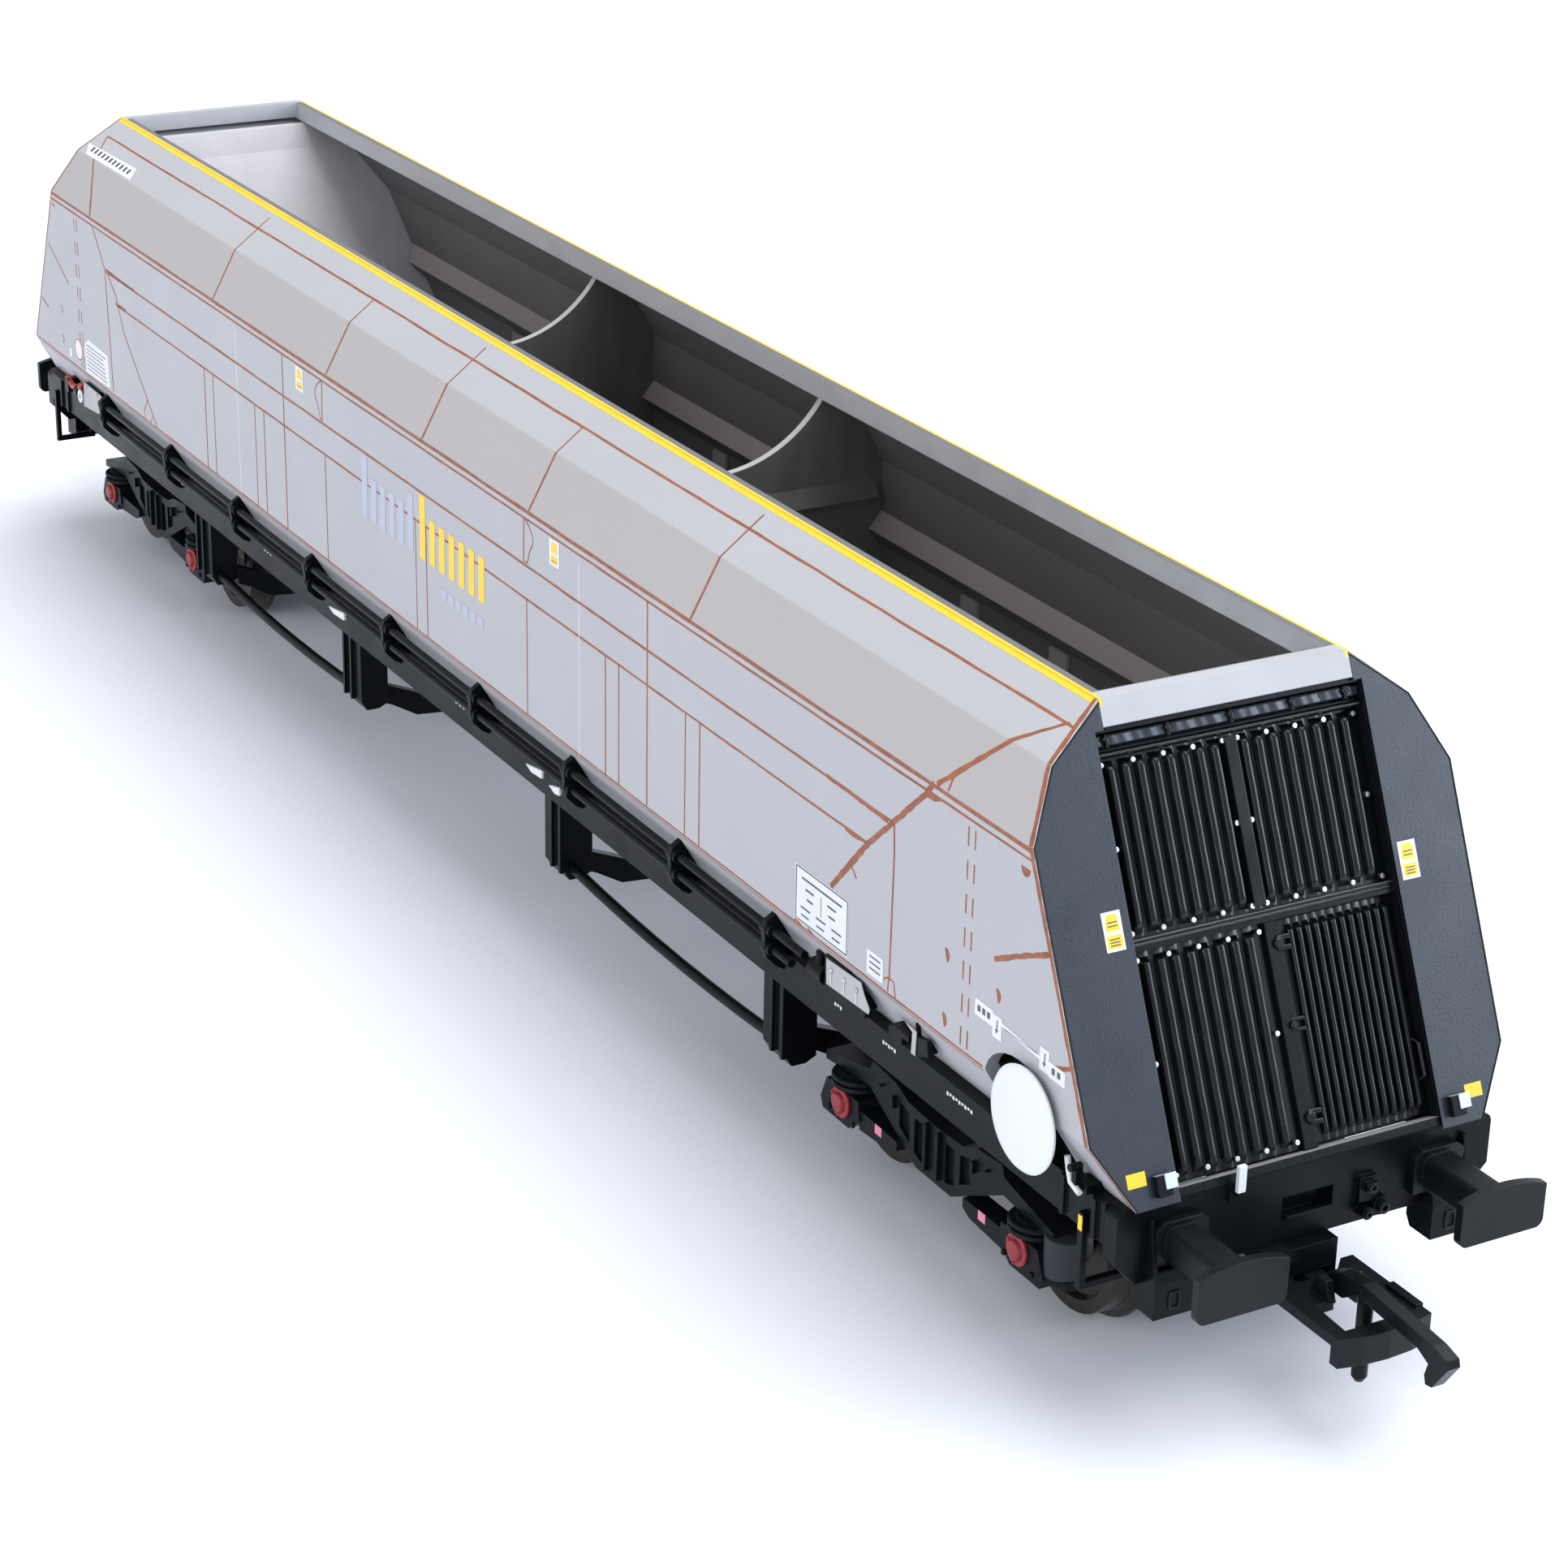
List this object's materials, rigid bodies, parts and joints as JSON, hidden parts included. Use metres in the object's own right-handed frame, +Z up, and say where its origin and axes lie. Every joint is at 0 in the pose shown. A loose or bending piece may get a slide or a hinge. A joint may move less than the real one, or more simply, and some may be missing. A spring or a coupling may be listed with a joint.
{
  "type": "model hopper car",
  "caption": "Scale-model bogie coal hopper wagon with an open-topped folded body, sloped ends, dished partitions, swivelling bogies, sprung-look buffers and hook couplings.",
  "frame": {"origin": "centre of the wagon, on the plane under the wheel flanges", "axes": "+X along the wagon towards end a, +Y across to the right side, +Z up"},
  "size_m": [0.2626, 0.0392, 0.051],
  "materials": {
    "body_grey": "satin light warm grey paint on moulded plastic",
    "yellow_edge": "satin yellow and light grey paint on the coaming edge",
    "inner_grey": "matt dark grey interior",
    "end_slate": "satin dark slate paint",
    "panel_black": "gloss black ribbed panels",
    "bolt_silver": "silver bolt heads",
    "frame_black": "satin black underframe moulding",
    "buffer_black": "satin black",
    "cover_red": "satin red axle covers",
    "wheel_metal": "blackened metal wheels with a bright tread",
    "axle_steel": "plain steel",
    "screw_steel": "plain steel screw",
    "wheel_white": "white hand wheel",
    "hook_steel": "blackened metal hook"
  },
  "bodies": {
    "root": {"side_sheet_left": "body_grey", "solebar_left": "frame_black", "operating_rods_left": "frame_black", "rod_brackets_left": "frame_black", "control_gear_left": "frame_black", "side_sheet_right": "body_grey", "solebar_right": "frame_black", "operating_rods_right": "frame_black", "rod_brackets_right": "frame_black", "control_gear_right": "frame_black", "top_coaming": "yellow_edge", "end_bolts": "bolt_silver", "end_frame_a": "end_slate", "upper_panel_a": "panel_black", "lower_panel_a": "panel_black", "equipment_door_a": "panel_black", "slope_sheet_a": "inner_grey", "partition_a": "inner_grey", "headstock_a": "frame_black", "bolster_a": "frame_black", "steps_a": "frame_black", "draft_box_a": "frame_black", "buffers_a": "buffer_black", "end_frame_b": "end_slate", "upper_panel_b": "panel_black", "lower_panel_b": "panel_black", "equipment_door_b": "panel_black", "slope_sheet_b": "inner_grey", "partition_b": "inner_grey", "headstock_b": "frame_black", "bolster_b": "frame_black", "steps_b": "frame_black", "draft_box_b": "frame_black", "buffers_b": "buffer_black", "chute_1": "inner_grey", "chute_2": "inner_grey", "chute_3": "inner_grey", "pivot_screws": "screw_steel", "cross_frames_outer": "frame_black", "cross_frames_inner": "frame_black", "brake_pipes": "frame_black"},
    "bogie_a": {"bogie_frame_a": "frame_black", "axle_covers_a": "cover_red"},
    "coupler_a": {"coupler_bar_a": "buffer_black"},
    "hook_a": {"coupler_hook_a": "hook_steel"},
    "bogie_b": {"bogie_frame_b": "frame_black", "axle_covers_b": "cover_red"},
    "coupler_b": {"coupler_bar_b": "buffer_black"},
    "hook_b": {"coupler_hook_b": "hook_steel"},
    "wheelset_1": {"axle_1": "axle_steel", "wheels_1": "wheel_metal"},
    "wheelset_2": {"axle_2": "axle_steel", "wheels_2": "wheel_metal"},
    "wheelset_3": {"axle_3": "axle_steel", "wheels_3": "wheel_metal"},
    "wheelset_4": {"axle_4": "axle_steel", "wheels_4": "wheel_metal"},
    "brake_wheel_left": {"hand_wheel_left": "wheel_white"},
    "brake_wheel_right": {"hand_wheel_right": "wheel_white"}
  },
  "joints": [
    {"name": "bogie_a_swivel", "type": "hinge", "parent": "root", "child": "bogie_a", "pos_m": [0.0855, 0, 0.0105], "axis": [0, 0, 1], "range_deg": [-11, 11]},
    {"name": "coupler_a_swing", "type": "hinge", "parent": "root", "child": "coupler_a", "pos_m": [0.1126, 0, 0.0094], "axis": [0, 0, 1], "range_deg": [-14, 14]},
    {"name": "hook_a_lift", "type": "hinge", "parent": "coupler_a", "child": "hook_a", "pos_m": [0.1183, 0, 0.0105], "axis": [0, -1, 0], "range_deg": [0, 13]},
    {"name": "bogie_b_swivel", "type": "hinge", "parent": "root", "child": "bogie_b", "pos_m": [-0.0855, 0, 0.0105], "axis": [0, 0, 1], "range_deg": [-11, 11]},
    {"name": "coupler_b_swing", "type": "hinge", "parent": "root", "child": "coupler_b", "pos_m": [-0.1126, 0, 0.0094], "axis": [0, 0, 1], "range_deg": [-14, 14]},
    {"name": "hook_b_lift", "type": "hinge", "parent": "coupler_b", "child": "hook_b", "pos_m": [-0.1183, 0, 0.0105], "axis": [0, 1, 0], "range_deg": [0, 13]},
    {"name": "wheelset_1_spin", "type": "hinge", "parent": "bogie_a", "child": "wheelset_1", "pos_m": [0.09863, 0, 0.007], "axis": [0, 1, 0], "continuous": true},
    {"name": "wheelset_2_spin", "type": "hinge", "parent": "bogie_a", "child": "wheelset_2", "pos_m": [0.07237, 0, 0.007], "axis": [0, 1, 0], "continuous": true},
    {"name": "wheelset_3_spin", "type": "hinge", "parent": "bogie_b", "child": "wheelset_3", "pos_m": [-0.07237, 0, 0.007], "axis": [0, 1, 0], "continuous": true},
    {"name": "wheelset_4_spin", "type": "hinge", "parent": "bogie_b", "child": "wheelset_4", "pos_m": [-0.09863, 0, 0.007], "axis": [0, 1, 0], "continuous": true},
    {"name": "brake_wheel_left_turn", "type": "hinge", "parent": "root", "child": "brake_wheel_left", "pos_m": [0.1048, -0.018, 0.022], "axis": [0, 1, 0], "continuous": true},
    {"name": "brake_wheel_right_turn", "type": "hinge", "parent": "root", "child": "brake_wheel_right", "pos_m": [-0.1048, 0.018, 0.022], "axis": [0, 1, 0], "continuous": true}
  ]
}
